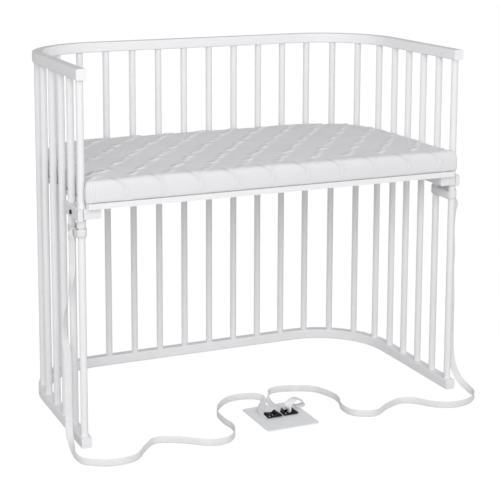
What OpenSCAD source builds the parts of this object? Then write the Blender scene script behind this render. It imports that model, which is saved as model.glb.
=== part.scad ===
// Bedside crib: two U-shaped rails joined by turned spindles, open towards the bed it stands at.
// A base board with a quilted mattress is clamped to the spindles at a chosen height, and two
// webbing straps lead to an anchor plate with two cam buckles.
// X runs along the crib, -Y is the open side, Z is up and zero is the floor.

/* [Rails] */
// Length of the crib over its rails
crib_w = 940; // [860:5:1100]
// Depth of the crib over its rails
crib_d = 508; // [460:2:640]
// Height of the crib
crib_h = 824; // [760:2:900]
// Width of a rail, seen from above
rail_w = 24; // [22:1:32]
// Height of a rail
rail_t = 24; // [22:1:36]
// Rounding of the rail edges
rail_round = 3; // [1:0.5:6]
// Bend radius of the two rear corners, at the middle of the rail
bend_r = 184; // [140:1:200]

/* [Spindles] */
// How many spindles stand between the rails
spindle_count = 26; // [24:2:28]
// Diameter of a spindle
spindle_d = 16; // [14:0.5:18]
// Distance from a rail's open end to its first spindle
end_inset = 16; // [14:0.5:24]
// Diameter of the tenon at each end of a spindle
tenon_d = 11; // [8:0.5:12]
// Length of a tenon
tenon_len = 14; // [8:0.5:18]
// Glue gap round tenons and dowels
glue_gap = 0.1; // [0.05:0.05:0.3]

/* [Rail dowels] */
// Diameter of a dowel
dowel_d = 6; // [5:0.5:8]
// Length of a dowel
dowel_len = 30; // [20:1:40]
// Height between the two dowels of a joint
dowel_step = 11; // [9:0.5:12]

/* [Base board] */
// Height of the underside of the base board
board_z = 526.5; // [480:0.5:560]
// Thickness of the base board
board_t = 12.5; // [10:0.5:20]
// How far the base board stands out in front of the rails
board_front = 11; // [5:0.5:12]
// Gap from the base board to the spindles
board_gap = 0.5; // [0.4:0.1:3]
// Radius of the front corners of the base board
board_corner_r = 3; // [2:1:20]

/* [Clamps] */
// Length of a clamp block along the spindles' row
clamp_len = 98; // [94:1:110]
// Width of an inner clamp block
inner_block_w = 39; // [32:1:46]
// Height of an inner clamp block
inner_block_h = 23; // [22:0.5:32]
// Height of an outer clamp block
outer_block_h = 26.5; // [22:0.5:34]
// Gap from the middle of the spindles to each clamp block
clamp_gap = 0.75; // [0.5:0.25:2]
// Clearance of a clamp groove round its spindle
groove_gap = 0.3; // [0.3:0.05:0.6]
// Rounding of the long edges of the clamp blocks
block_round = 3; // [1:0.5:5]
// Depth of a clamp bolt below the base board
bolt_drop = 14; // [11:0.5:15]
// Thread diameter of a clamp bolt
bolt_d = 6; // [5:0.5:8]
// Diameter of a clamp bolt's head
bolt_head_d = 11; // [9:0.5:14]
// Height of a clamp bolt's head
bolt_head_h = 3; // [2:0.5:3.5]
// Diameter of the barrel nut
barrel_nut_d = 10; // [9:0.5:12]
// Length of the barrel nut
barrel_nut_len = 14; // [10:1:16]
// Running gap round bolts and barrel nuts
bolt_gap = 0.2; // [0.1:0.05:0.5]

/* [Board screws] */
// Shank diameter of a base board screw
screw_d = 4; // [3:0.5:5]
// Length of a base board screw
screw_len = 28; // [20:1:32]
// Head diameter of a base board screw
screw_head_d = 8; // [6:0.5:9]

/* [Mattress] */
// Height of the mattress at its edges
mattress_t = 49; // [40:1:70]
// How far the mattress stands out in front of the rails
mattress_front = 12; // [8:0.5:14]
// Gap from the mattress to the spindles
mattress_gap = 0.8; // [0.5:0.1:3]
// Rise of the mattress in its middle
mattress_crown = 5; // [2:1:12]
// Depth of the sewn quilting channels
channel_depth = 3; // [1:0.5:5]
// Radius of the front corners of the mattress
mattress_corner_r = 8; // [6:1:30]
// Thickness of the quilted cover
cover_t = 7; // [6:0.5:9]
// Gap between the cover and the foam core
core_gap = 0.3; // [0.1:0.1:1]

/* [Straps] */
// Width of the webbing
strap_w = 16; // [14:1:20]
// Thickness of the webbing
strap_t = 1.4; // [1:0.1:2]
// Gap from an outer clamp block down to the strap loops under it
loop_drop = 3.5; // [0.5:0.5:10]
// Gap between the left loop's upper and lower turns
loop_spread = 1.5; // [0.5:0.1:4]
// Height of the right loop's outer turn above its inner one
right_turn_rise = 7; // [2:0.5:14]
// Gap from the strap loops to the spindles
loop_gap = 0.4; // [0.3:0.05:0.8]
// Length of a hitch knot's end below the strap loops
hitch_drop = 18; // [12:0.5:24]
// Length of a hitch knot
hitch_h = 38; // [30:1:44]
// Width of a hitch knot
hitch_w = 20; // [16:1:26]

/* [Anchor plate] */
// Length of the anchor plate along the crib
plate_w = 128; // [110:1:160]
// Depth of the anchor plate
plate_d = 143; // [120:1:170]
// Thickness of the anchor plate
plate_t = 3; // [2:0.5:5]
// Radius of the corners of the anchor plate
plate_corner_r = 7; // [2:0.5:10]

/* [Cam buckles] */
// Length of a buckle's base
buckle_len = 35; // [32:1:44]
// How much wider a buckle is than the webbing
buckle_margin = 7; // [6:0.5:10]
// Thickness of a buckle's floor
buckle_floor_t = 1.2; // [1:0.1:2]
// Thickness of a buckle's cheek
cheek_t = 2; // [1.5:0.1:2.5]
// Height of a buckle's cheek
cheek_h = 8.8; // [8:0.2:11]
// Gap between a lever and what it turns beside
lever_gap = 0.4; // [0.3:0.05:0.8]
// Diameter of a lever's pin
pin_d = 2.5; // [2:0.25:3]
// Running gap of a lever on its pin
pin_gap = 0.05; // [0.05:0.01:0.1]
// Wall of a lever's barrel round its pin
barrel_wall = 1; // [0.8:0.1:1.2]
// Length of a lever from its pin
lever_len = 10.5; // [9:0.5:11]
// Thickness of a lever
lever_t = 2; // [1.6:0.1:2.2]
// Angle at which the right lever stands open
right_lever_open = 107; // [60:1:110]

/* [Hidden] */
$fn = 48;
// A hair by which a cut passes the face that it opens
over = 0.5;

// Rails and their path: a point at distance s from the left open end, and the way out of the crib there
yc = (mattress_front - bolt_head_h) / 2;
front_y = yc - crib_d / 2;
path_x = (crib_w - rail_w) / 2;
back_y = yc + crib_d / 2 - rail_w / 2;
bend_x = path_x - bend_r;
bend_y = back_y - bend_r;
arm_len = bend_y - front_y;
arc_len = PI * bend_r / 2;
half_len = arm_len + arc_len + bend_x;
spindle_step = (2 * half_len - 2 * end_inset) / (spindle_count - 1);
// The rail seams lie where the bends end, or at the middle of the spindle gap before that
seam_x = min(bend_x, spindle_step * floor((bend_x + 2) / spindle_step));
spindle_len = crib_h - 2 * rail_t;

// From the middle of the back towards the right open end, mirrored for the left
function half_point(s) =
    s <= bend_x ? [s, back_y] :
    s <= bend_x + arc_len
        ? let (a = (s - bend_x) / bend_r * 180 / PI) [bend_x + bend_r * sin(a), bend_y + bend_r * cos(a)]
        : [path_x, bend_y - (s - bend_x - arc_len)];
function spindle_s(k) = (k - (spindle_count + 1) / 2) * spindle_step;
function spindle_at(k) =
    let (s = spindle_s(k), p = half_point(abs(s))) [sign(s) * p[0], p[1]];

// Clamps: the front pair grips the first two spindles of each arm,
// the rear pair the back's fourth and fifth
clamp_row_y = front_y + end_inset + spindle_step / 2;
rear_clamp_x = 3 * spindle_step;
block_half = clamp_len / 2;
outer_block_w = rail_w / 2 - clamp_gap;
bolt_z = board_z - bolt_drop;
nut_reach = 16;
screw_row = 22;
board_top = board_z + board_t;

// Mattress
mattress_y0 = front_y - mattress_front;
mattress_r = bend_r - spindle_d / 2 - mattress_gap;
mattress_half = path_x - spindle_d / 2 - mattress_gap;
mattress_back = back_y - spindle_d / 2 - mattress_gap;
panel_t = 2;
panel_inset = 5;

// Strap loops
loop_r = spindle_d / 2 + loop_gap;
loop_z = board_z - outer_block_h - loop_drop - 2 * strap_w - loop_spread;
turn_step = strap_t + 0.15;
hitch_x = path_x + loop_r + 2 * turn_step + 0.3;
hitch_t = 4.5;
hitch_z = loop_z - hitch_drop;
hitch_gap = 0.3;

// Anchor plate and cam buckles
plate_at = [3.8, -249.7];
plate_turn = 0.6;
buckle_w = strap_w + buckle_margin;
buckle_z = plate_t + strap_t + 0.5;
left_buckle_at = [-13.5, -246.5];
right_buckle_at = [28, -245.5];
barrel_r = pin_d / 2 + pin_gap + barrel_wall;
pin_x = 3.5 - buckle_len / 2;
pin_z = buckle_floor_t + lever_gap + barrel_r;
lever_w = buckle_w - 2 * cheek_t - 2 * lever_gap;

// Routes of the straps: points with the way that the webbing's width lies there
left_strap_route = [
    [[-475, -203, hitch_z - hitch_gap], [0.66, -0.75, 0]],
    [[-475, -203, hitch_z - 14], [0.66, -0.75, 0]],
    [[-471.3, -203, 380], [0.6, -0.8, 0]],
    [[-477, -204, 322], [-0.29, -0.96, 0]],
    [[-483, -205, 280], [-0.67, -0.75, 0]],
    [[-484.5, -205, 235], [-0.93, -0.36, 0]],
    [[-485, -206, 200], [-0.96, 0.28, 0]],
    [[-485, -207, 150], [-0.96, 0.28, 0]],
    [[-485.5, -208, 100], [-0.96, 0.28, 0]],
    [[-486, -211, 60], [-0.97, 0.23, -0.1]],
    [[-489, -222, 32], [-0.95, 0.25, -0.35]],
    [[-491, -243, 16], [-0.75, 0.3, -0.8]],
    [[-495, -272, 9.5], [-0.4, 0, -1]],
    [[-498, -302, 8.2], [0, 0, -1]],
    [[-491, -330, 8.2], [0, 0, -1]],
    [[-470, -347, 8.2], [0, 0, -1]],
    [[-442, -360, 8.2], [0, 0, -1]],
    [[-408, -362, 8.2], [0, 0, -1]],
    [[-378, -351, 8.2], [0, 0, -1]],
    [[-352, -319, 8.2], [0, 0, -1]],
    [[-322, -288, 8.2], [0, 0, -1]],
    [[-298, -287, 8.2], [0, 0, -1]],
    [[-256, -308, 8.2], [0, 0, -1]],
    [[-208, -343, 8.2], [0, 0, -1]],
    [[-168, -344, 8.2], [0, 0, -1]],
    [[-140, -317, 8.2], [0, 0, -1]],
    [[-128, -280, 8.2], [0, 0, -1]],
    [[-132, -235, 8.2], [0, 0, -1]],
    [[-127, -188, 8.2], [0, 0, -1]],
    [[-102, -146, 8.2], [0, 0, -1]],
    [[-62, -118, 8.2], [0, 0, -1]],
    [[-18, -121, 8.2], [0, 0, -1]],
    [[4, -137, 8.3], [-0.2, 0, -1]],
    [[5, -152, 7.4], [-0.6, 0.3, -0.7]],
    [[-3, -168, 5], [-0.8, 0.6, -0.1]],
    [[-16, -183, 4.1], [-0.74, 0.67, 0]],
    [[-28, -199, 6.2], [-0.85, 0.5, 0.25]],
    [[-35, -216, 6.8], [-0.95, 0.1, 0.3]],
    [[-33, -233, 4.2], [-0.95, -0.3, 0.02]],
    [[-24, -245, 3.9], [-0.8, -0.6, 0]]
];
right_strap_route = [
    [[473.5, -217, hitch_z - hitch_gap], [1, 0, 0]],
    [[473.5, -217, hitch_z - 14], [1, 0, 0]],
    [[471.8, -217, 385], [1, 0, 0]],
    [[474, -218, 335], [1, 0, 0]],
    [[472.5, -218, 285], [1, 0, 0]],
    [[475, -219, 220], [1, 0, 0]],
    [[475, -220, 150], [1, 0, 0]],
    [[475, -221, 100], [1, 0, 0]],
    [[476.5, -225, 66], [0.97, -0.1, 0.12]],
    [[479.5, -236, 39], [0.87, -0.2, 0.4]],
    [[482.5, -258, 20.5], [0.76, -0.25, 0.6]],
    [[486, -288, 10.2], [0.45, -0.15, 0.88]],
    [[483, -314, 8.2], [0, 0, 1]],
    [[467, -334, 8.2], [0, 0, 1]],
    [[438, -353, 8.2], [0, 0, 1]],
    [[396, -357, 8.2], [0, 0, 1]],
    [[357, -336, 8.2], [0, 0, 1]],
    [[328, -299, 8.2], [0, 0, 1]],
    [[294, -287, 8.2], [0, 0, 1]],
    [[250, -305, 8.2], [0, 0, 1]],
    [[210, -331, 8.2], [0, 0, 1]],
    [[174, -323, 8.2], [0, 0, 1]],
    [[154, -297, 8.2], [0, 0, 1]],
    [[154, -261, 8.2], [0, 0, 1]],
    [[166, -228, 8.2], [0, 0, 1]],
    [[167, -192, 8.2], [0, 0, 1]],
    [[146, -139, 8.2], [0, 0, 1]],
    [[98, -114, 8.2], [0, 0, 1]],
    [[60, -106, 8.2], [0, 0, 1]],
    [[37, -116, 8.2], [0, 0, 1]],
    [[28, -134, 8.2], [-0.1, 0, 1]],
    [[23.5, -149, 7.2], [-0.6, 0.1, 0.8]],
    [[16, -163, 5.2], [-1, 0.1, 0.2]],
    [[15, -182, 4], [-1, 0, 0]],
    [[19, -203, 3.9], [-1, -0.2, 0]],
    [[25, -222, 3.9], [-1, -0.25, 0]],
    [[28, -236, 3.9], [-1, 0, 0]],
    [[28, -247, 3.9], [-1, 0, 0]]
];
// The right strap's free tail: up through its buckle, over a fold and back down to the plate
tail_route = [
    [[27.9, -245.5, 5.3], [0, 1, 0]],
    [[27.9, -245.5, 9.5], [0, 1, 0]],
    [[27.7, -245.5, 13.5], [-0.35, 0.93, 0]],
    [[26.7, -245.5, 18], [-0.75, 0.6, 0.1]],
    [[25, -245.3, 22.5], [-0.88, 0.45, 0.1]],
    [[27, -245, 26.5], [-0.86, 0.45, 0.25]],
    [[32, -243.5, 29.5], [-0.75, 0.5, 0.4]],
    [[39, -240.5, 32], [-0.45, 0.8, 0.35]],
    [[46.5, -237, 33], [0, 0.98, 0.1]],
    [[54, -234, 30.5], [0.39, 0.91, -0.15]],
    [[63, -230, 25], [0.39, 0.91, -0.15]],
    [[71, -227, 19.5], [0.3, 0.92, -0.1]],
    [[75, -226, 15], [0.1, 0.96, 0.15]],
    [[72.5, -226, 11.5], [0, 0.98, 0.2]],
    [[65, -226.5, 10.3], [0, 0.98, 0.2]],
    [[54, -227, 10.5], [0, 0.98, 0.2]]
];
rings_per_step = 2;

SPINDLE_NODES = [for (k = [1:spindle_count]) str("spindle_", k < 10 ? "0" : "", k)];

// Rail section, centred, with its corners rounded
module rail_section() {
    square([rail_w - 2 * rail_round, rail_t], center = true);
    square([rail_w, rail_t - 2 * rail_round], center = true);
    for (x = [-1, 1], y = [-1, 1])
        translate([x * (rail_w / 2 - rail_round), y * (rail_t / 2 - rail_round)]) circle(rail_round);
}

module along_x(len) {
    rotate([90, 0, 90]) linear_extrude(len) children();
}

module along_y(len) {
    rotate([-90, 0, 0]) linear_extrude(len) children();
}

// Right-hand bent rail at height z: its arm and its corner as one bent piece
module bent_rail(z) {
    difference() {
        union() {
            translate([path_x, front_y, z + rail_t / 2]) along_y(arm_len) rail_section();
            if (bend_x > seam_x)
                translate([seam_x, back_y, z + rail_t / 2]) along_x(bend_x - seam_x) rail_section();
            translate([bend_x, bend_y, z + rail_t / 2])
                rotate_extrude(angle = 90, $fn = 96) translate([bend_r, 0]) rail_section();
        }
        spindle_bores(z);
        dowel_bores(z);
    }
}

module back_rail(z) {
    difference() {
        translate([-seam_x, back_y, z + rail_t / 2]) along_x(2 * seam_x) rail_section();
        spindle_bores(z);
        dowel_bores(z);
        mirror([1, 0, 0]) dowel_bores(z);
    }
}

// Blind bores for the tenons, in the face of the rail that looks at the other rail
module spindle_bores(z) {
    mouth = z == 0 ? rail_t - tenon_len - glue_gap : z - over;
    depth = tenon_len + glue_gap + over;
    for (k = [1:spindle_count])
        translate([spindle_at(k)[0], spindle_at(k)[1], mouth])
            cylinder(d = tenon_d + 2 * glue_gap, h = depth);
}

module dowel_bores(z) {
    for (side = [-1, 1])
        translate([seam_x - dowel_len / 2 - glue_gap, back_y, z + rail_t / 2 + side * dowel_step / 2])
            rotate([0, 90, 0]) cylinder(d = dowel_d + 2 * glue_gap, h = dowel_len + 2 * glue_gap);
}

module rail_top_left() {
    color("whitesmoke") mirror([1, 0, 0]) bent_rail(crib_h - rail_t);
}

module rail_top_right() {
    color("whitesmoke") bent_rail(crib_h - rail_t);
}

module rail_top_back() {
    color("whitesmoke") back_rail(crib_h - rail_t);
}

module rail_bottom_left() {
    color("whitesmoke") mirror([1, 0, 0]) bent_rail(0);
}

module rail_bottom_right() {
    color("whitesmoke") bent_rail(0);
}

module rail_bottom_back() {
    color("whitesmoke") back_rail(0);
}

// Two dowels across each of the four joints between bent and straight rails
module rail_dowels() {
    color("burlywood")
        for (side = [-1, 1], z = [0, crib_h - rail_t], row = [-1, 1])
            translate([side * seam_x - dowel_len / 2, back_y, z + rail_t / 2 + row * dowel_step / 2])
                rotate([0, 90, 0]) cylinder(d = dowel_d, h = dowel_len);
}

// Turned spindle with a tenon at each end
module spindle(k) {
    color("white")
        translate([spindle_at(k)[0], spindle_at(k)[1], 0]) {
            translate([0, 0, rail_t]) cylinder(d = spindle_d, h = spindle_len);
            translate([0, 0, rail_t - tenon_len]) cylinder(d = tenon_d, h = spindle_len + 2 * tenon_len);
        }
}

// Outline inside the spindles: straight front, small front corners, large rear corners
module bay_outline(half, front, back, rear_r, corner_r) {
    translate([-half, front + corner_r]) square([2 * half, back - rear_r - front - corner_r]);
    translate([-half + corner_r, front]) square([2 * (half - corner_r), corner_r]);
    translate([-half + rear_r, back - rear_r]) square([2 * (half - rear_r), rear_r]);
    for (side = [-1, 1]) {
        translate([side * (half - corner_r), front + corner_r]) circle(corner_r);
        intersection() {
            translate([side * (half - rear_r), back - rear_r]) circle(rear_r, $fn = 96);
            translate([side < 0 ? -half : half - rear_r, back - rear_r]) square([rear_r, rear_r]);
        }
    }
}

module base_board() {
    edge = spindle_d / 2 + board_gap;
    color("ghostwhite") difference() {
        translate([0, 0, board_z])
            linear_extrude(board_t)
                bay_outline(path_x - edge, front_y - board_front, back_y - edge, bend_r - edge,
                            board_corner_r);
        at_each_clamp() at_each_screw() screw_shape(0.1);
    }
}

// Puts a clamp's pieces at its four places: local +X points out of the crib, and zero is the row's middle
module at_clamp(end, side) {
    if (end == "front")
        mirror([side < 0 ? 1 : 0, 0, 0]) translate([path_x, clamp_row_y, 0]) children();
    else
        translate([side * rear_clamp_x, back_y, 0]) rotate([0, 0, 90]) children();
}

module at_each_clamp() {
    for (end = ["front", "rear"], side = [-1, 1])
        at_clamp(end, side) children();
}

module at_each_screw() {
    for (row = [-1, 1])
        translate([-inner_block_w / 2, row * screw_row, 0]) children();
}

module clamp_grooves() {
    for (row = [-1, 1])
        translate([0, row * spindle_step / 2, board_z - 2 * outer_block_h])
            cylinder(d = spindle_d + 2 * groove_gap, h = 3 * outer_block_h);
}

// Block outline seen along the row, with the two long edges away from the spindles rounded
module block_section(w, h) {
    translate([block_round, 0]) square([w - block_round, h]);
    translate([0, block_round]) square([block_round, h - 2 * block_round]);
    for (z = [block_round, h - block_round])
        translate([block_round, z]) circle(block_round);
}

module inner_block() {
    difference() {
        translate([-clamp_gap - inner_block_w, block_half, board_z - inner_block_h])
            rotate([90, 0, 0]) linear_extrude(clamp_len) intersection() {
                block_section(inner_block_w, inner_block_h + block_round);
                square([inner_block_w, inner_block_h]);
            }
        clamp_grooves();
        bolt_bore();
        translate([-nut_reach, 0, bolt_z - barrel_nut_len / 2 - bolt_gap])
            cylinder(d = barrel_nut_d + 2 * bolt_gap, h = barrel_nut_len + 2 * bolt_gap);
        translate([-nut_reach, 0, board_z - inner_block_h - over])
            cylinder(d = barrel_nut_d + 2 * bolt_gap, h = inner_block_h - bolt_drop + over);
        at_each_screw() screw_shape(0);
    }
}

module outer_block() {
    difference() {
        translate([clamp_gap + outer_block_w, -block_half, board_z - outer_block_h])
            rotate([90, 0, 180]) linear_extrude(clamp_len) block_section(outer_block_w, outer_block_h);
        clamp_grooves();
        bolt_bore();
    }
}

module bolt_bore() {
    translate([-nut_reach - barrel_nut_d / 2 - 3, 0, bolt_z])
        rotate([0, 90, 0]) cylinder(d = bolt_d + 2 * bolt_gap, h = nut_reach + barrel_nut_d + rail_w);
}

// Round-headed bolt with a hexagon socket, from the outer face into the barrel nut
module clamp_bolt() {
    seat = rail_w / 2;
    difference() {
        union() {
            translate([seat, 0, bolt_z]) rotate([0, 90, 0])
                cylinder(d1 = bolt_head_d, d2 = bolt_head_d - 2, h = bolt_head_h);
            translate([-nut_reach - barrel_nut_d / 2 - 2, 0, bolt_z]) rotate([0, 90, 0])
                cylinder(d = bolt_d, h = nut_reach + barrel_nut_d / 2 + 2 + seat + over);
        }
        translate([seat + bolt_head_h - 2, 0, bolt_z]) rotate([0, 90, 0])
            cylinder(d = 5, h = 2 + over, $fn = 6);
    }
}

module barrel_nut() {
    difference() {
        translate([-nut_reach, 0, bolt_z - barrel_nut_len / 2]) cylinder(d = barrel_nut_d, h = barrel_nut_len);
        translate([-nut_reach - barrel_nut_d, 0, bolt_z])
            rotate([0, 90, 0]) cylinder(d = bolt_d + 0.1, h = 2 * barrel_nut_d);
    }
}

module screw_shape(gap) {
    head_h = (screw_head_d - screw_d) / 2;
    translate([0, 0, board_top - screw_len]) cylinder(d = screw_d + 2 * gap, h = screw_len);
    translate([0, 0, board_top - head_h]) cylinder(d1 = screw_d, d2 = screw_head_d, h = head_h);
}

module board_screws() {
    color("silver") at_each_clamp() at_each_screw() screw_shape(0);
}

module inner_block_front_left() {
    color("white") at_clamp("front", -1) inner_block();
}

module inner_block_front_right() {
    color("white") at_clamp("front", 1) inner_block();
}

module inner_block_rear_left() {
    color("white") at_clamp("rear", -1) inner_block();
}

module inner_block_rear_right() {
    color("white") at_clamp("rear", 1) inner_block();
}

module outer_block_front_left() {
    color("white") at_clamp("front", -1) outer_block();
}

module outer_block_front_right() {
    color("white") at_clamp("front", 1) outer_block();
}

module outer_block_rear_left() {
    color("white") at_clamp("rear", -1) outer_block();
}

module outer_block_rear_right() {
    color("white") at_clamp("rear", 1) outer_block();
}

module clamp_bolts() {
    color("black") at_each_clamp() clamp_bolt();
}

module barrel_nuts() {
    color("silver") at_each_clamp() barrel_nut();
}

// Quilted cover: a grid on the mattress outline, four cells to a channel along the crib,
// and a channel moves one cell along with each row, so the channels run on a slant
cells_x = 40;
cells_y = 15;
channel_cells = 4;
first_channel = 2;
mattress_len = mattress_back - mattress_y0;
mattress_mid = (mattress_y0 + mattress_back) / 2;
ceiling_z = mattress_t - 1 - channel_depth - 3;

// Half width of the mattress outline at depth y
function outline_half(y) =
    y > mattress_back - mattress_r
        ? mattress_half - mattress_r + sqrt(max(0, pow(mattress_r, 2) - pow(y - mattress_back + mattress_r, 2)))
    : y < mattress_y0 + mattress_corner_r
        ? mattress_half - mattress_corner_r
          + sqrt(max(0, pow(mattress_corner_r, 2) - pow(mattress_y0 + mattress_corner_r - y, 2)))
    : mattress_half;
// Rows lie closer where the outline turns
function row_y(j) = mattress_y0 + mattress_len * (j / cells_y - 0.05 * sin(360 * j / cells_y));
function cover_xy(i, j, inset) =
    let (y = row_y(j))
    [(2 * i / cells_x - 1) * outline_half(y) * (1 - inset / mattress_half),
     mattress_mid + (y - mattress_mid) * (1 - inset / (mattress_len / 2))];
function on_channel(i, j) = (i - j + cells_x - first_channel) % channel_cells == 0;
function cover_top(i, j) =
    board_top + mattress_t - 1
    + mattress_crown * sin(180 * i / cells_x) * sin(180 * j / cells_y)
    - (on_channel(i, j) ? channel_depth : 0);

// The rim's corners in order, and the cover's rings from the pocket's ceiling round to its side:
// inset from the outline, height above the board, and how far a channel draws the ring in
rim = concat([for (i = [0:cells_x - 1]) [i, 0]], [for (j = [0:cells_y - 1]) [cells_x, j]],
             [for (i = [cells_x:-1:1]) [i, cells_y]], [for (j = [cells_y:-1:1]) [0, j]]);
cover_rings = [
    [cover_t, ceiling_z, 0], [cover_t, panel_t, 0], [panel_inset, panel_t, 0],
    [0.6, 9, 1.5], [1, mattress_t - 9, 1.8]
];
rim_count = len(rim);
top_first = len(cover_rings) * rim_count;

function rim_outline(inset) = concat(
    [for (j = [0:cells_y]) cover_xy(cells_x, j, inset)], [for (j = [cells_y:-1:0]) cover_xy(0, j, inset)]);
function rim_left(j) = j == 0 ? 0 : 2 * (cells_x + cells_y) - j;
function rim_right(j) = cells_x + j;
function rim_back(i) = 2 * cells_x + cells_y - i;
function rim_top(n) = top_first + rim[n % rim_count][1] * (cells_x + 1) + rim[n % rim_count][0];
function rim_side(r, n) = r * rim_count + n % rim_count;

module mattress_form() {
    side_points = [
        for (r = cover_rings, c = rim)
            let (p = cover_xy(c[0], c[1], r[0] + (on_channel(c[0], c[1]) ? r[2] : 0)))
            [p[0], p[1], board_top + r[1]]
    ];
    top_points = [
        for (j = [0:cells_y], i = [0:cells_x])
            let (edge = i == 0 || i == cells_x || j == 0 || j == cells_y,
                 p = cover_xy(i, j, edge ? 6 : 0))
            [p[0], p[1], cover_top(i, j)]
    ];
    top_faces = [
        for (j = [0:cells_y - 1], i = [0:cells_x - 1], half = [0, 1])
            let (a = top_first + j * (cells_x + 1) + i, b = a + 1, c = a + cells_x + 1, d = c + 1)
            half == 0 ? [a, d, b] : [a, c, d]
    ];
    side_faces = [
        for (r = [0:len(cover_rings) - 1], n = [0:rim_count - 1], half = [0, 1])
            let (last = r == len(cover_rings) - 1,
                 a = rim_side(r, n), b = rim_side(r, n + 1),
                 c = last ? rim_top(n) : rim_side(r + 1, n),
                 d = last ? rim_top(n + 1) : rim_side(r + 1, n + 1))
            half == 0 ? [a, d, b] : [a, c, d]
    ];
    ceiling_faces = concat(
        [for (i = [0:cells_x - 1]) [i, i + 1, rim_left(1)]],
        [[rim_left(1), rim_right(0), rim_right(1)]],
        [for (j = [1:cells_y - 2]) [rim_left(j), rim_right(j), rim_right(j + 1)]],
        [for (j = [1:cells_y - 2]) [rim_left(j), rim_right(j + 1), rim_left(j + 1)]],
        [[rim_left(cells_y - 1), rim_right(cells_y - 1), rim_right(cells_y)]],
        [for (i = [0:cells_x - 1]) [rim_left(cells_y - 1), rim_back(i + 1), rim_back(i)]]
    );
    polyhedron(concat(side_points, top_points), concat(ceiling_faces, side_faces, top_faces));
}

// Top and sides of the cover, open underneath
module mattress_cover() {
    color("gainsboro") mattress_form();
}

// Foam core of the mattress
module mattress_core() {
    color("lightyellow") translate([0, 0, board_top + panel_t])
        linear_extrude(ceiling_z - panel_t - core_gap) polygon(rim_outline(cover_t + core_gap));
}

// Underside of the cover, which lies on the board
module mattress_panel() {
    color("gainsboro") translate([0, 0, board_top])
        linear_extrude(panel_t) polygon(rim_outline(panel_inset));
}

// Webbing turned once round the first two spindles of an arm, lying outside any turn before it
module webbing_turn(count) {
    r = loop_r + count * turn_step;
    linear_extrude(strap_w) difference() {
        turn_outline(r + strap_t);
        turn_outline(r);
    }
}

module turn_outline(r) {
    square([2 * r, spindle_step], center = true);
    for (row = [-1, 1])
        translate([0, row * spindle_step / 2]) circle(r);
}

// Hitch knot on the outside of the turns, where the strap leaves them
module hitch(y) {
    translate([hitch_x + hitch_t / 2, y, hitch_z + hitch_h / 2])
        hull() for (row = [-1, 1], end = [-1, 1])
            translate([0, row * (hitch_w / 2 - hitch_t / 2), end * (hitch_h / 2 - hitch_t / 2)])
                sphere(d = hitch_t, $fn = 16);
}

module strap_loop_left() {
    color("snow") mirror([1, 0, 0]) {
        translate([path_x, clamp_row_y, loop_z]) webbing_turn(0);
        translate([path_x, clamp_row_y, loop_z + strap_w + loop_spread]) webbing_turn(0);
        translate([path_x, clamp_row_y, loop_z + (strap_w + loop_spread) / 2]) webbing_turn(1);
        hitch(left_strap_route[0][0][1]);
    }
}

module strap_loop_right() {
    color("snow") {
        translate([path_x, clamp_row_y, loop_z]) webbing_turn(0);
        translate([path_x, clamp_row_y, loop_z + right_turn_rise]) webbing_turn(1);
        hitch(right_strap_route[0][0][1]);
    }
}

// Flat webbing swept along a route
function smooth(route, n, f, part) =
    let (last = len(route) - 1,
         a = route[max(0, n - 1)][part], b = route[n][part],
         c = route[n + 1][part], d = route[min(last, n + 2)][part])
    0.5 * (2 * b + f * ((c - a) + f * ((2 * a - 5 * b + 4 * c - d) + f * (3 * b - 3 * c + d - a))));
function sweep_points(route, part) = [
    for (n = [0:len(route) - 2], k = [0:rings_per_step - 1]) smooth(route, n, k / rings_per_step, part),
    route[len(route) - 1][part]
];
function unit(v) = v / norm(v);
webbing_ring = [
    [0.5, 0.28], [0.47, 0.5], [-0.47, 0.5], [-0.5, 0.28],
    [-0.5, -0.28], [-0.47, -0.5], [0.47, -0.5], [0.5, -0.28]
];

module webbing(route) {
    centres = sweep_points(route, 0);
    ways = sweep_points(route, 1);
    last = len(centres) - 1;
    sides = len(webbing_ring);
    points = [
        for (n = [0:last])
            let (along = unit(centres[min(last, n + 1)] - centres[max(0, n - 1)]),
                 wide = unit(ways[n] - along * (ways[n] * along)),
                 thick = cross(along, wide))
            for (c = webbing_ring) centres[n] + wide * c[0] * strap_w + thick * c[1] * strap_t
    ];
    walls = [
        for (n = [0:last - 1], k = [0:sides - 1], half = [0, 1])
            let (a = n * sides + k, b = n * sides + (k + 1) % sides)
            half == 0 ? [a, b, b + sides] : [a, b + sides, a + sides]
    ];
    ends = [[for (k = [sides - 1:-1:0]) k], [for (k = [0:sides - 1]) last * sides + k]];
    polyhedron(points, concat(walls, ends));
}

module strap_left() {
    color("snow") webbing(left_strap_route);
}

module strap_right() {
    color("snow") webbing(right_strap_route);
}

module strap_tail() {
    color("snow") webbing(tail_route);
}

module anchor_plate() {
    color("lightgray") translate([plate_at[0], plate_at[1], 0]) rotate([0, 0, plate_turn])
        linear_extrude(plate_t) {
            square([plate_w - 2 * plate_corner_r, plate_d], center = true);
            square([plate_w, plate_d - 2 * plate_corner_r], center = true);
            for (x = [-1, 1], y = [-1, 1])
                translate([x * (plate_w / 2 - plate_corner_r), y * (plate_d / 2 - plate_corner_r)])
                    circle(plate_corner_r);
        }
}

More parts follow.
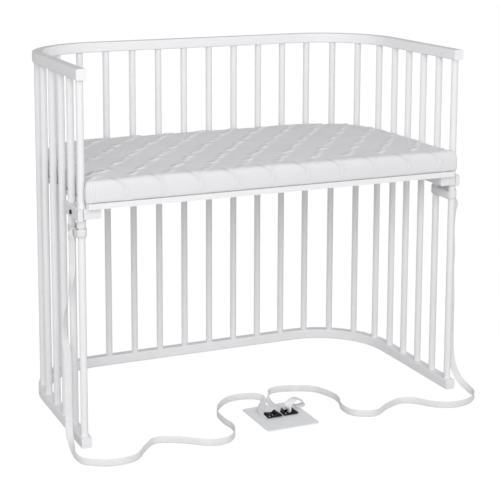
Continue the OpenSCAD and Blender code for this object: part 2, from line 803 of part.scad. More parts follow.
// Buckle base: a floor with a slot for the webbing, two cheeks that hold the pin, and a toothed housing
module buckle_base() {
    end = buckle_len / 2;
    top = cheek_h;
    boss = pin_z + pin_d / 2 + 1.1;
    difference() {
        union() {
            translate([-end, -buckle_w / 2, 0]) cube([buckle_len, buckle_w, buckle_floor_t]);
            for (side = [-1, 1])
                translate([0, side * (buckle_w - cheek_t) / 2 + cheek_t / 2, 0])
                    rotate([90, 0, 0]) linear_extrude(cheek_t)
                        polygon([[-end, 0], [end, 0], [end, 3.2], [9, top], [6.5, top], [1.5, 4.4],
                                 [pin_x + 4, 4.4], [pin_x + 2, boss], [pin_x - 1.8, boss], [-end, 4]]);
            translate([0, buckle_w / 2, 0]) rotate([90, 0, 0]) linear_extrude(buckle_w)
                polygon([[3, buckle_floor_t], [end, buckle_floor_t], [end, 3.2], [9, top - 0.3],
                         [6.5, top - 0.3], [3, 5.8]]);
        }
        translate([pin_x, buckle_w / 2 + over, pin_z])
            rotate([90, 0, 0]) cylinder(d = pin_d, h = buckle_w + 2 * over);
        translate([-2.6, -strap_w / 2 - 0.4, -over])
            cube([5, strap_w + 0.8, buckle_floor_t + 2 * over]);
    }
}

// Lever: a barrel round the pin and a handle with a round end
module buckle_lever() {
    difference() {
        union() {
            translate([0, lever_w / 2, 0]) rotate([90, 0, 0]) cylinder(r = barrel_r, h = lever_w);
            translate([0, 0, barrel_r - lever_t]) linear_extrude(lever_t) intersection() {
                translate([0, -lever_w / 2]) square([lever_len, lever_w]);
                translate([lever_len - 0.55 * lever_w, 0]) circle(0.55 * lever_w);
            }
        }
        translate([0, buckle_w / 2, 0]) rotate([90, 0, 0]) cylinder(d = pin_d + 2 * pin_gap, h = buckle_w);
    }
}

module at_buckle(at) {
    translate([at[0], at[1], buckle_z]) children();
}

module buckle_base_left() {
    color("black") at_buckle(left_buckle_at) buckle_base();
}

module buckle_base_right() {
    color("black") at_buckle(right_buckle_at) buckle_base();
}

module buckle_lever_left() {
    color("black") at_buckle(left_buckle_at) translate([pin_x, 0, pin_z]) buckle_lever();
}

module buckle_lever_right() {
    color("black") at_buckle(right_buckle_at) translate([pin_x, 0, pin_z])
        rotate([0, -right_lever_open, 0]) buckle_lever();
}

module buckle_pins() {
    color("silver") for (at = [left_buckle_at, right_buckle_at])
        at_buckle(at) translate([pin_x, buckle_w / 2, pin_z]) rotate([90, 0, 0]) cylinder(d = pin_d, h = buckle_w);
}

rail_top_left();
rail_top_back();
rail_top_right();
rail_bottom_left();
rail_bottom_back();
rail_bottom_right();
rail_dowels();
for (k = [1:spindle_count])
    spindle(k);
base_board();
inner_block_front_left();
inner_block_front_right();
inner_block_rear_left();
inner_block_rear_right();
outer_block_front_left();
outer_block_front_right();
outer_block_rear_left();
outer_block_rear_right();
clamp_bolts();
barrel_nuts();
board_screws();
mattress_core();
mattress_cover();
mattress_panel();
strap_loop_left();
strap_loop_right();
strap_left();
strap_right();
strap_tail();
anchor_plate();
buckle_base_left();
buckle_base_right();
buckle_lever_left();
buckle_lever_right();
buckle_pins();
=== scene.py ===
"""Bedside crib of white lacquered wood with a quilted mattress, on a white studio floor."""
import math

import bpy
import numpy as np
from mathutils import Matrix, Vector


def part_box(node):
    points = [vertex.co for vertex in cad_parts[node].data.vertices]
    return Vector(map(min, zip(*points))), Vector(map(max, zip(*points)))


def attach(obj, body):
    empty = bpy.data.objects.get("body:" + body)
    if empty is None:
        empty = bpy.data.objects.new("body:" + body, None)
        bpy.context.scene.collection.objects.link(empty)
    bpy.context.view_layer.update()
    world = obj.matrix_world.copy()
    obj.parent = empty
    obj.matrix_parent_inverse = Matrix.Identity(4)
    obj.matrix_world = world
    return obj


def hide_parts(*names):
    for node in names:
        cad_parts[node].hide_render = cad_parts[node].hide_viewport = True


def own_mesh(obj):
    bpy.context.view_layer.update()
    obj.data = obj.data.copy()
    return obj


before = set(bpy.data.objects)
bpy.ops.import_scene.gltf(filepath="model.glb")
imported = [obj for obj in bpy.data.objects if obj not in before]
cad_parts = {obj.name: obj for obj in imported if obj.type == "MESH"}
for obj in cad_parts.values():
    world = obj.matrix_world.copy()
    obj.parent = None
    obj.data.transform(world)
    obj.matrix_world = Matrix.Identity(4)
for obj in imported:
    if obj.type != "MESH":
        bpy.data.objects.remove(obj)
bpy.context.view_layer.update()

# Camera, to the left of the crib's open side and a little above it
camera_data = bpy.data.cameras.new("camera")
camera = bpy.data.objects.new("camera", camera_data)
bpy.context.scene.collection.objects.link(camera)
camera.location = (-1.2977, -2.9453, 1.1762)
camera.rotation_euler = (math.radians(81.32), 0, math.radians(-23.04))
camera_data.sensor_width = 36
camera_data.lens = 98.65
camera_data.shift_x = 0.064
camera_data.shift_y = -0.2885
bpy.context.scene.camera = camera
bpy.context.scene.view_settings.view_transform = "Standard"

# Sizes that the soft pieces share with the solid ones, in metres
board_top = 0.539
crown = 0.005  # how much higher the mattress is in its middle
side_x = 0.4492  # half its width between the spindles
front_y = -0.2615
rear_y = 0.2377
mid_y = (front_y + rear_y) / 2
half_depth = (rear_y - front_y) / 2
rear_radius = 0.1752
front_radius = 0.007
front_swell = 0.0063  # how much it swells in front of the first spindles
swell_y = -0.2435
swell_over = 0.006
strap_width = 0.016
strap_thick = 0.0014

# Routes of the straps: points with the way that the webbing's width lies there, in millimetres
left_route = [
    ((-471.2, -206.5, 444.7), (0.66, -0.75, 0)), ((-470.8, -205.5, 431), (0.66, -0.75, 0)),
    ((-471.3, -203, 380), (0.6, -0.8, 0)), ((-479.5, -204, 330), (-0.29, -0.96, 0)),
    ((-489.5, -205, 290), (-0.67, -0.75, 0)), ((-490.5, -205, 240), (-0.93, -0.36, 0)),
    ((-486, -206, 208), (-0.96, 0.28, 0)), ((-485, -207, 150), (-0.96, 0.28, 0)),
    ((-485.5, -208, 100), (-0.96, 0.28, 0)), ((-486, -211, 60), (-0.97, 0.23, -0.1)),
    ((-489, -222, 32), (-0.95, 0.25, -0.35)), ((-491, -243, 16), (-0.75, 0.3, -0.8)),
    ((-495, -272, 9.5), (-0.4, 0, -1)), ((-498, -302, 8.2), (0, 0, -1)), ((-491, -330, 8.2), (0, 0, -1)),
    ((-470, -347, 8.2), (0, 0, -1)), ((-442, -360, 8.2), (0, 0, -1)), ((-408, -362, 8.2), (0, 0, -1)),
    ((-378, -351, 8.2), (0, 0, -1)), ((-352, -319, 8.2), (0, 0, -1)), ((-322, -288, 8.2), (0, 0, -1)),
    ((-298, -287, 8.2), (0, 0, -1)), ((-256, -308, 8.2), (0, 0, -1)), ((-208, -343, 8.2), (0, 0, -1)),
    ((-168, -344, 8.2), (0, 0, -1)), ((-140, -317, 8.2), (0, 0, -1)), ((-128, -280, 8.2), (0, 0, -1)),
    ((-132, -235, 8.2), (0, 0, -1)), ((-127, -188, 8.2), (0, 0, -1)), ((-102, -146, 8.2), (0, 0, -1)),
    ((-62, -118, 8.2), (0, 0, -1)), ((-18, -121, 8.2), (0, 0, -1)), ((4, -137, 8.3), (-0.2, 0, -1)),
    ((5, -152, 7.4), (-0.6, 0.3, -0.7)), ((-3, -168, 5), (-0.8, 0.6, -0.1)),
    ((-14, -184, 4.1), (-0.74, 0.67, 0)), ((-23, -199, 5.6), (-0.85, 0.5, 0.2)),
    ((-29, -216, 6), (-0.95, 0.1, 0.25)), ((-28, -234, 4.2), (-0.95, -0.3, 0.02)),
    ((-22, -245, 3.9), (-0.8, -0.6, 0)),
]
right_route = [
    ((478.7, -217, 444.7), (1, 0, 0)), ((474.6, -217, 431), (1, 0, 0)), ((471.8, -217, 385), (1, 0, 0)),
    ((474, -218, 335), (1, 0, 0)), ((472.5, -218, 285), (1, 0, 0)), ((475, -219, 220), (1, 0, 0)),
    ((475, -220, 150), (1, 0, 0)), ((475, -221, 100), (1, 0, 0)), ((476.5, -225, 66), (0.97, -0.1, 0.12)),
    ((479.5, -236, 39), (0.87, -0.2, 0.4)), ((482.5, -258, 20.5), (0.76, -0.25, 0.6)),
    ((486, -288, 10.2), (0.45, -0.15, 0.88)), ((483, -314, 8.2), (0, 0, 1)), ((467, -334, 8.2), (0, 0, 1)),
    ((438, -353, 8.2), (0, 0, 1)), ((396, -357, 8.2), (0, 0, 1)), ((357, -336, 8.2), (0, 0, 1)),
    ((328, -299, 8.2), (0, 0, 1)), ((294, -287, 8.2), (0, 0, 1)), ((250, -305, 8.2), (0, 0, 1)),
    ((210, -331, 8.2), (0, 0, 1)), ((174, -323, 8.2), (0, 0, 1)), ((154, -297, 8.2), (0, 0, 1)),
    ((154, -261, 8.2), (0, 0, 1)), ((166, -228, 8.2), (0, 0, 1)), ((167, -192, 8.2), (0, 0, 1)),
    ((146, -139, 8.2), (0, 0, 1)), ((98, -114, 8.2), (0, 0, 1)), ((60, -106, 8.2), (0, 0, 1)),
    ((37, -116, 8.2), (0, 0, 1)), ((28, -134, 8.2), (-0.1, 0, 1)), ((23.5, -149, 7.2), (-0.6, 0.1, 0.8)),
    ((16, -163, 5.2), (-1, 0.1, 0.2)), ((15, -182, 4), (-1, 0, 0)), ((19, -203, 3.9), (-1, -0.2, 0)),
    ((25, -222, 3.9), (-1, -0.25, 0)), ((28, -236, 3.9), (-1, 0, 0)), ((28, -247, 3.9), (-1, 0, 0)),
]
tail_route = [
    ((27.9, -245.5, 5.3), (0, 1, 0)), ((27.9, -245.5, 9.5), (0, 1, 0)),
    ((27.3, -245.5, 14), (-0.35, 0.93, 0)), ((25.2, -245.5, 18.6), (-0.75, 0.6, 0.1)),
    ((24, -245.3, 23), (-0.88, 0.45, 0.1)), ((26.6, -245, 26.7), (-0.86, 0.45, 0.25)),
    ((32, -243.5, 29.5), (-0.75, 0.5, 0.4)), ((39, -240.5, 32), (-0.45, 0.8, 0.35)),
    ((46.5, -237, 33), (0, 0.98, 0.1)), ((54, -234, 30.5), (0.39, 0.91, -0.15)),
    ((63, -230, 25), (0.39, 0.91, -0.15)), ((71, -227, 19.5), (0.3, 0.92, -0.1)),
    ((75, -226, 15), (0.1, 0.96, 0.15)), ((72.5, -226, 11.5), (0, 0.98, 0.2)),
    ((65, -226.5, 10.3), (0, 0.98, 0.2)), ((54, -227, 10.5), (0, 0.98, 0.2)),
]


def add_piece(name, verts, faces):
    """A new object with its mesh, in the scene."""
    mesh = bpy.data.meshes.new(name)
    mesh.from_pydata(verts, [], faces)
    piece = bpy.data.objects.new(name, mesh)
    bpy.context.scene.collection.objects.link(piece)
    return piece


# Finishes

def finish_material(name, base, rough, coat=0.0, sheen=0.0, specular=0.5, metal=0.0):
    """A material with its plain values on the shader, and its nodes to hand."""
    mat = bpy.data.materials.new(name)
    mat.use_nodes = True
    nodes = mat.node_tree.nodes
    shader = nodes["Principled BSDF"]
    shader.inputs["Base Color"].default_value = (*base, 1)
    shader.inputs["Roughness"].default_value = rough
    shader.inputs["Metallic"].default_value = metal
    shader.inputs["Specular IOR Level"].default_value = specular
    shader.inputs["Coat Weight"].default_value = coat
    shader.inputs["Coat Roughness"].default_value = 0.25
    shader.inputs["Sheen Weight"].default_value = sheen
    return mat, nodes, mat.node_tree.links, shader


def node(nodes, kind, **values):
    """A new node, with values for its sockets and settings by name."""
    made = nodes.new(kind)
    for key, value in values.items():
        if key in made.inputs:
            made.inputs[key].default_value = value
        else:
            setattr(made, key, value)
    return made


def tone(nodes, links, source, shader, low, high):
    """Lets the middle of a pattern's range move the base colour between two tones; gives the colour."""
    ramp = node(nodes, "ShaderNodeValToRGB")
    for stop, position, colour in zip(ramp.color_ramp.elements, (0.3, 0.7), (low, high)):
        stop.position = position
        stop.color = (*colour, 1)
    links.new(source, ramp.inputs["Fac"])
    links.new(ramp.outputs["Color"], shader.inputs["Base Color"])
    return ramp.outputs["Color"]


def rough_range(nodes, links, source, shader, low, high):
    """Lets a pattern move the roughness between two values."""
    spread = node(nodes, "ShaderNodeMapRange", **{"To Min": low, "To Max": high})
    links.new(source, spread.inputs["Value"])
    links.new(spread.outputs["Result"], shader.inputs["Roughness"])


def relief(nodes, links, source, shader, strength, distance, before=None):
    """A bump from a pattern, on top of an earlier bump where there is one."""
    bump = node(nodes, "ShaderNodeBump", Strength=strength, Distance=distance)
    links.new(source, bump.inputs["Height"])
    if before is not None:
        links.new(before.outputs["Normal"], bump.inputs["Normal"])
    links.new(bump.outputs["Normal"], shader.inputs["Normal"])
    return bump


def stretched(nodes, links, source, texture, stretch):
    """Draws a texture out; stretch is how dense it lies along each axis of its coordinates."""
    mapping = node(nodes, "ShaderNodeMapping", Scale=stretch)
    links.new(source, mapping.inputs["Vector"])
    links.new(mapping.outputs["Vector"], texture.inputs["Vector"])


def lacquered_wood(name, low, high, stretch):
    """White lacquer with a hint of the grain under it and a fine orange peel."""
    mat, nodes, links, shader = finish_material(name, high, rough=0.36)
    place = node(nodes, "ShaderNodeTexCoord")
    grain = node(nodes, "ShaderNodeTexNoise", Scale=9.0, Detail=6.0, Roughness=0.6)
    peel = node(nodes, "ShaderNodeTexNoise", Scale=420.0, Detail=2.0)
    stretched(nodes, links, place.outputs["Object"], grain, stretch)
    links.new(place.outputs["Object"], peel.inputs["Vector"])
    tone(nodes, links, grain.outputs["Fac"], shader, low, high)
    rough_range(nodes, links, grain.outputs["Fac"], shader, low=0.32, high=0.42)
    first = relief(nodes, links, grain.outputs["Fac"], shader, strength=0.08, distance=0.0004)
    relief(nodes, links, peel.outputs["Fac"], shader, strength=0.06, distance=0.0002, before=first)
    return mat


rail_lacquer = lacquered_wood("rail_lacquer", (0.86, 0.86, 0.875), (0.9, 0.9, 0.91), (4, 4, 16))
spindle_lacquer = lacquered_wood("spindle_lacquer", (0.84, 0.84, 0.855), (0.88, 0.88, 0.89), (24, 24, 2))
# Painted shade: a darker copy of the rails' lacquer for the clamp blocks under the board
shaded_clamp_lacquer = lacquered_wood("shaded_clamp_lacquer", (0.8, 0.8, 0.815), (0.84, 0.84, 0.85), (8, 8, 8))
board_lacquer = lacquered_wood("board_lacquer", (0.85, 0.85, 0.86), (0.89, 0.89, 0.9), (2, 12, 12))


def beech():
    """Raw beech of the dowels, with its grain along them."""
    mat, nodes, links, shader = finish_material("beech_dowel", (0.72, 0.52, 0.32), rough=0.6)
    place = node(nodes, "ShaderNodeTexCoord")
    grain = node(nodes, "ShaderNodeTexNoise", Scale=60.0, Detail=5.0)
    stretched(nodes, links, place.outputs["Object"], grain, (1, 14, 14))
    tone(nodes, links, grain.outputs["Fac"], shader, (0.6, 0.42, 0.24), (0.78, 0.6, 0.4))
    relief(nodes, links, grain.outputs["Fac"], shader, strength=0.2, distance=0.0003)
    return mat


speckle_gloss = 0.08


def speckled(name, low, high, rough, scale, metal=0.0, coat=0.0, specular=0.5):
    """Moulded or plated surface with a fine even speckle in tone and gloss."""
    mat, nodes, links, shader = finish_material(name, high, rough, coat=coat, specular=specular, metal=metal)
    place = node(nodes, "ShaderNodeTexCoord")
    speck = node(nodes, "ShaderNodeTexNoise", Scale=scale, Detail=4.0, Roughness=0.6)
    links.new(place.outputs["Object"], speck.inputs["Vector"])
    tone(nodes, links, speck.outputs["Fac"], shader, low, high)
    rough_range(nodes, links, speck.outputs["Fac"], shader, rough - speckle_gloss, rough + speckle_gloss)
    relief(nodes, links, speck.outputs["Fac"], shader, strength=0.1, distance=0.0002)
    return mat


bolt_black = speckled("bolt_black", (0.01, 0.01, 0.011), (0.02, 0.02, 0.021), 0.45, 900, specular=0.3)
zinc = speckled("zinc_plating", (0.56, 0.57, 0.59), (0.68, 0.69, 0.71), 0.34, 700, metal=1.0)
plate_grey = speckled("plate_grey", (0.87, 0.885, 0.91), (0.92, 0.925, 0.95), 0.55, 260)
buckle_black = speckled("buckle_black", (0.003, 0.003, 0.0035), (0.007, 0.007, 0.008), 0.3, 800,
                        coat=0.1, specular=0.22)
foam_cream = speckled("foam_cream", (0.82, 0.78, 0.62), (0.9, 0.87, 0.74), 0.9, 600, specular=0.1)


def woven(name, low, high, ribs, rough):
    """Webbing: warp ribs along its length and fine picks across, on its own UV map in metres.

    ribs is how dense the picks lie, and the warp ribs are a fifth less dense.
    """
    mat, nodes, links, shader = finish_material(name, high, rough, sheen=0.25, specular=0.2)
    along = node(nodes, "ShaderNodeUVMap", uv_map="weave")
    picks = node(nodes, "ShaderNodeTexWave", Scale=1.0, bands_direction="X")
    warp = node(nodes, "ShaderNodeTexWave", Scale=1.0, bands_direction="Y")
    fuzz = node(nodes, "ShaderNodeTexNoise", Scale=900.0, Detail=3.0)
    cloud = node(nodes, "ShaderNodeTexNoise", Scale=26.0, Detail=3.0)
    stretched(nodes, links, along.outputs["UV"], picks, (ribs, 1, 1))
    stretched(nodes, links, along.outputs["UV"], warp, (1, ribs * 0.8, 1))
    links.new(along.outputs["UV"], fuzz.inputs["Vector"])
    links.new(along.outputs["UV"], cloud.inputs["Vector"])
    cross = node(nodes, "ShaderNodeMath", operation="MULTIPLY")
    links.new(picks.outputs["Fac"], cross.inputs[0])
    links.new(warp.outputs["Fac"], cross.inputs[1])
    tone(nodes, links, cloud.outputs["Fac"], shader, low, high)
    first = relief(nodes, links, cross.outputs["Value"], shader, strength=0.5, distance=0.0003)
    relief(nodes, links, fuzz.outputs["Fac"], shader, strength=0.15, distance=0.0002, before=first)
    return mat


webbing_white = woven("webbing_white", (0.8, 0.8, 0.81), (0.86, 0.86, 0.87), 420, 0.75)


# Sockets of a mix node that blends colours
mix_share, mix_first, mix_second, mixed = 0, 6, 7, 2


def quilt_cotton():
    """Percale cover: a fine weave with slubs, and painted shade: greyer where the mesh marks a fold."""
    mat, nodes, links, shader = finish_material("quilt_cotton", (0.8, 0.8, 0.825), rough=0.85,
                                                sheen=0.06, specular=0.1)
    place = node(nodes, "ShaderNodeTexCoord")
    weave_a = node(nodes, "ShaderNodeTexWave", Scale=520.0, bands_direction="X")
    weave_b = node(nodes, "ShaderNodeTexWave", Scale=520.0, bands_direction="Y")
    cloud = node(nodes, "ShaderNodeTexNoise", Scale=7.0, Detail=4.0)
    slub = node(nodes, "ShaderNodeTexNoise", Scale=160.0, Detail=4.0)
    for texture in (weave_a, weave_b, cloud, slub):
        links.new(place.outputs["Object"], texture.inputs["Vector"])
    thread = node(nodes, "ShaderNodeMath", operation="MULTIPLY")
    links.new(weave_a.outputs["Fac"], thread.inputs[0])
    links.new(weave_b.outputs["Fac"], thread.inputs[1])
    smooth_cloth = tone(nodes, links, cloud.outputs["Fac"], shader, (0.77, 0.77, 0.79), (0.8, 0.8, 0.82))
    fold = node(nodes, "ShaderNodeAttribute", attribute_name="fold")
    shaded = node(nodes, "ShaderNodeMix", data_type="RGBA", blend_type="MIX")
    # Painted shade: the grey that the cloth turns where a fold lies
    shaded.inputs[mix_second].default_value = (0.5, 0.5, 0.53, 1)
    links.new(fold.outputs["Fac"], shaded.inputs[mix_share])
    links.new(smooth_cloth, shaded.inputs[mix_first])
    links.new(shaded.outputs[mixed], shader.inputs["Base Color"])
    first = relief(nodes, links, thread.outputs["Value"], shader, strength=0.25, distance=0.0002)
    relief(nodes, links, slub.outputs["Fac"], shader, strength=0.12, distance=0.0006, before=first)
    return mat


quilt_white = quilt_cotton()

node_finish = {
    "rail_dowels": beech(), "base_board": board_lacquer, "clamp_bolts": bolt_black,
    "barrel_nuts": zinc, "board_screws": zinc, "buckle_pins": zinc, "anchor_plate": plate_grey,
    "mattress_core": foam_cream, "mattress_panel": quilt_white,
}
for name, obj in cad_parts.items():
    if name.startswith("spindle_"):
        finish = spindle_lacquer
    elif name.startswith("rail_") and name != "rail_dowels":
        finish = rail_lacquer
    elif name.startswith(("inner_block", "outer_block")):
        finish = shaded_clamp_lacquer
    elif name.startswith("buckle_") and name != "buckle_pins":
        finish = buckle_black
    else:
        finish = node_finish.get(name, webbing_white)
    for slot in obj.material_slots:
        slot.material = finish


# Webbing

route_steps = 6  # rows of the mesh from one point of a route to the next


def smooth(route):
    """Rows of place and width way on a Catmull-Rom curve through a route's points, in metres."""
    places = [Vector(place) / 1000 for place, way in route]
    ways = [Vector(way) for place, way in route]
    out = []
    for n in range(len(route) - 1):
        for k in range(route_steps):
            f = k / route_steps
            values = []
            for row in (places, ways):
                a, b, c, d = row[max(n - 1, 0)], row[n], row[n + 1], row[min(n + 2, len(row) - 1)]
                values.append(0.5 * (2 * b + (c - a) * f + (2 * a - 5 * b + 4 * c - d) * f * f
                                     + (3 * b - 3 * c + d - a) * f ** 3))
            out.append(values)
    out.append([places[-1], ways[-1]])
    return out


# Section of the webbing, in shares of its width and thickness: its edges are round, and it is a
# hair thinner in the middle
section = [(0.5, 0.0), (0.492, 0.3), (0.47, 0.5), (0.16, 0.46), (-0.16, 0.46), (-0.47, 0.5), (-0.492, 0.3),
           (-0.5, 0.0), (-0.492, -0.3), (-0.47, -0.5), (-0.16, -0.46), (0.16, -0.46), (0.47, -0.5),
           (0.492, -0.3)]


def swept(name, rows, widths=None):
    """Flat webbing through rows of place and width way, with its UV map in metres."""
    sides = len(section)
    verts, faces, lengths, far = [], [], [], 0.0
    for n, (place, way) in enumerate(rows):
        after, before = rows[min(n + 1, len(rows) - 1)][0], rows[max(n - 1, 0)][0]
        along = (after - before).normalized()
        wide = (way - along * way.dot(along)).normalized()
        normal = along.cross(wide)
        if n:
            far += (place - rows[n - 1][0]).length
        lengths.append(far)
        width = strap_width * (widths[n] if widths else 1)
        for a, b in section:
            verts.append(tuple(place + wide * (a * width) + normal * (b * strap_thick)))
    for n in range(len(rows) - 1):
        for k in range(sides):
            a, b = n * sides + k, n * sides + (k + 1) % sides
            faces.append((a, b, b + sides, a + sides))
    faces.append(tuple(range(sides - 1, -1, -1)))
    faces.append(tuple(range((len(rows) - 1) * sides, len(rows) * sides)))
    piece = add_piece(name, verts, faces)
    mesh = piece.data
    uv = mesh.uv_layers.new(name="weave")
    for face in mesh.polygons:
        face.use_smooth = len(face.vertices) == 4
        for loop in face.loop_indices:
            v = mesh.loops[loop].vertex_index
            uv.data[loop].uv = (lengths[v // sides], section[v % sides][0] * strap_width)
    mesh.materials.append(webbing_white)
    return piece, [tuple(place) for place, way in rows], far


def webbing(name, route, widths=None):
    """Webbing along a route. widths gives the share of its full width at each point."""
    shares = widths or [1] * len(route)
    rows = smooth(route)
    spread = np.interp(np.arange(len(rows)) / route_steps, np.arange(len(route)), shares)
    return swept(name, rows, list(spread))


left_strap, left_path, left_length = webbing("left_strap", left_route)
right_strap, right_path, right_length = webbing("right_strap", right_route)
tail, tail_path, tail_length = webbing("strap_end", tail_route)
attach(left_strap, "frame")
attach(right_strap, "frame")
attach(tail, "frame")
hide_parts("strap_left")
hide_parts("strap_right")
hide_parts("strap_tail")
for piece in (left_strap, right_strap):
    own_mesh(piece)


# Strap loops: webbing wound round the first two spindles of each arm, and the hitch outside it

# The first two spindles of the right arm; the left arm mirrors them
spindle_low, spindle_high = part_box("spindle_26")
next_low, next_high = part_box("spindle_25")
spindle_x = (spindle_low[0] + spindle_high[0]) / 2
spindle_r = (spindle_high[0] - spindle_low[0]) / 2
pair_y = (spindle_low[1] + next_high[1]) / 2
pair_gap = next_low[1] - spindle_low[1]
spindle_clear = 0.0004
layer_step = strap_thick + 0.00015
turn_step = 22.5  # degrees from one row of the mesh to the next


def winding(name, side, passes):
    """Webbing wound round an arm's first two spindles, side -1 at the left and 1 at the right.

    A pass is a row (-1 front spindle, 1 rear one) with its first and last angle, height in
    millimetres and layer. Angle 0 is the arm's outer side, 90 points to the rear.
    """
    rows = []
    for row, angles, heights, layers in passes:
        count = max(1, round(abs(angles[1] - angles[0]) / turn_step))
        for k in range(count + 1):
            f = k / count
            angle = math.radians(angles[0] + (angles[1] - angles[0]) * f)
            r = (spindle_r + spindle_clear + strap_thick / 2
                 + layer_step * (layers[0] + (layers[1] - layers[0]) * f))
            place = Vector((side * (spindle_x + r * math.cos(angle)),
                            pair_y + row * pair_gap / 2 + r * math.sin(angle),
                            (heights[0] + (heights[1] - heights[0]) * f) / 1000))
            rows.append((place, Vector((0, 0, 1))))
    return swept(name, rows)[0]


left_winding = winding("left_winding", -1, [
    (-1, (150, 360), (491.5, 491.3), (0, 0)), (-1, (382, 540), (490, 472), (0.1, 0.3)),
    (-1, (562, 720), (470.5, 470), (0, 0)), (1, (0, 180), (470, 472), (0, 0)),
    (-1, (180, 375), (475, 472.5), (1, 1.1)),
])
right_winding = winding("right_winding", 1, [
    (1, (0, 180), (488, 478.5), (0, 0)), (-1, (180, 360), (477.5, 486), (0, 0)),
    (1, (0, 180), (486, 476), (1, 1)), (-1, (180, 350), (475, 482), (1, 1)),
])
left_hitch = webbing("left_hitch", [
    ((-463, -212, 466), (0.1, -1, 0)), ((-465.5, -212, 476), (0.1, -1, 0)), ((-469, -212, 481), (0.2, -1, 0)),
    ((-473, -212, 478), (0.4, -0.9, 0)), ((-475.5, -211, 470), (0.6, -0.8, 0)),
    ((-475, -210, 461), (0.66, -0.75, 0)), ((-472.5, -208, 452), (0.66, -0.75, 0)),
    ((-471, -206.2, 443), (0.66, -0.75, 0)),
], widths=[0.6, 0.4, 0.3, 0.32, 0.6, 0.9, 1.0, 1.0])[0]
right_hitch = webbing("right_hitch", [
    ((463, -222, 472), (0, 1, 0.1)), ((469, -221, 474), (0.1, 1, 0.1)), ((474.5, -219, 470), (0.4, 0.9, 0.1)),
    ((478.5, -218, 463), (0.7, 0.6, 0)), ((480.3, -217, 456), (0.95, 0.2, 0)), ((480, -217, 450), (1, 0, 0)),
    ((478.3, -217, 443), (1, 0, 0)),
], widths=[0.8, 0.6, 0.45, 0.5, 0.75, 1.0, 1.0])[0]
for piece in (left_winding, left_hitch, right_winding, right_hitch):
    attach(piece, "base")
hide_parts("strap_loop_left")
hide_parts("strap_loop_right")


# Mattress

def smoothstep(start, stop, x):
    """0 at start, 1 at stop, and a soft step between them."""
    t = np.clip((x - start) / (stop - start), 0, 1)
    return t * t * (3 - 2 * t)


def outline_half(y):
    """Half the mattress's width at depth y: it swells in front of the first spindles."""
    if y > rear_y - rear_radius:
        return side_x - rear_radius + math.sqrt(max(0, rear_radius ** 2 - (y - rear_y + rear_radius) ** 2))
    swell = front_swell * float(smoothstep(swell_y, swell_y - swell_over, y))
    if y < front_y + front_radius:
        return (side_x + swell - front_radius
                + math.sqrt(max(0, front_radius ** 2 - (front_y + front_radius - y) ** 2)))
    return side_x + swell


# The stitched rows run on a slant across the mattress; first_row is where one meets its front
row_angle = math.radians(52.5)
row_gap = 0.0867
row_pitch = row_gap * math.sin(row_angle)
first_row = -0.366


def quilt_rows(x, y):
    """Distance to the nearest stitched row, above 0 on its right; its number; the way along it."""
    across = (x - first_row) * math.sin(row_angle) - (y - front_y) * math.cos(row_angle)
    along = (x - first_row) * math.cos(row_angle) + (y - front_y) * math.sin(row_angle)
    number = np.round(across / row_pitch)
    return across - number * row_pitch, number, along


def uneven(u, v, size):
    """Smooth unevenness between -1 and 1, with no repeat on this mattress."""
    a, b = u / size, v / size
    return (np.sin(a * 5.1 + 1.3 * np.sin(b * 3.7)) * np.sin(b * 4.3 + 1.7 * np.sin(a * 2.9 + 0.6))
            + 0.5 * np.sin(a * 9.7 + b * 7.1 + 2.0)) / 1.5


# Rings of the mattress's sides: how far in from its outline, and how high over the board
side_rings = [(0.006, 0.0005), (0.0025, 0.0012), (0.0009, 0.004), (0.0003, 0.0075), (0.0, 0.011),
              (0.0, 0.0145), (0.0, 0.018), (0.0, 0.0215), (0.0, 0.025), (0.0001, 0.0285),
              (0.0004, 0.032), (0.0008, 0.035), (0.0014, 0.038), (0.0024, 0.041), (0.0042, 0.0441),
              (0.0065, 0.0463)]
# The same for the edge of its top and for the grid inside that
edge_inset, edge_high = 0.0095, 0.0478
field_inset, field_high = 0.0125, 0.0485
end_crowding = 0.06  # the grid's rows stand closer at the front and the rear


def mattress_mesh(name, columns, rows):
    """Closed form of the mattress: a grid on its top, its sides in rings, and its underside."""
    def spot(i, j, inset):
        v = j / rows
        y = front_y + 2 * half_depth * (v - end_crowding * math.sin(2 * math.pi * v))
        return ((2 * i / columns - 1) * outline_half(y) * (1 - inset / side_x),
                mid_y + (y - mid_y) * (1 - inset / half_depth))

    rim = ([(i, 0) for i in range(columns)] + [(columns, j) for j in range(rows)]
           + [(i, rows) for i in range(columns, 0, -1)] + [(0, j) for j in range(rows, 0, -1)])
    verts = [(*spot(i, j, inset), board_top + high) for inset, high in side_rings for i, j in rim]
    faces = []
    count = len(rim)
    first = len(verts)
    for j in range(rows + 1):
        for i in range(columns + 1):
            edge = i in (0, columns) or j in (0, rows)
            inset, high = (edge_inset, edge_high) if edge else (field_inset, field_high)
            verts.append((*spot(i, j, inset), board_top + high))
    for j in range(rows):
        for i in range(columns):
            a = first + j * (columns + 1) + i
            faces.append((a, a + 1, a + columns + 2, a + columns + 1))
    top_of = [first + j * (columns + 1) + i for i, j in rim]
    ring_spots = [range(r * count, (r + 1) * count) for r in range(len(side_rings))] + [top_of]
    for lower, upper in zip(ring_spots, ring_spots[1:]):
        for n in range(count):
            m = (n + 1) % count
            faces.append((lower[n], lower[m], upper[m], upper[n]))
    faces.append(tuple(range(count - 1, -1, -1)))
    return add_piece(name, verts, faces)


mattress = mattress_mesh("mattress", columns=600, rows=290)
points = np.array([v.co for v in mattress.data.vertices])
x, y, z = points.T.copy()
top_share = smoothstep(board_top + 0.036, board_top + 0.048, z)  # lifted with the top
side_share = 1 - smoothstep(board_top + 0.040, board_top + 0.0475, z)  # pressed in with the sides
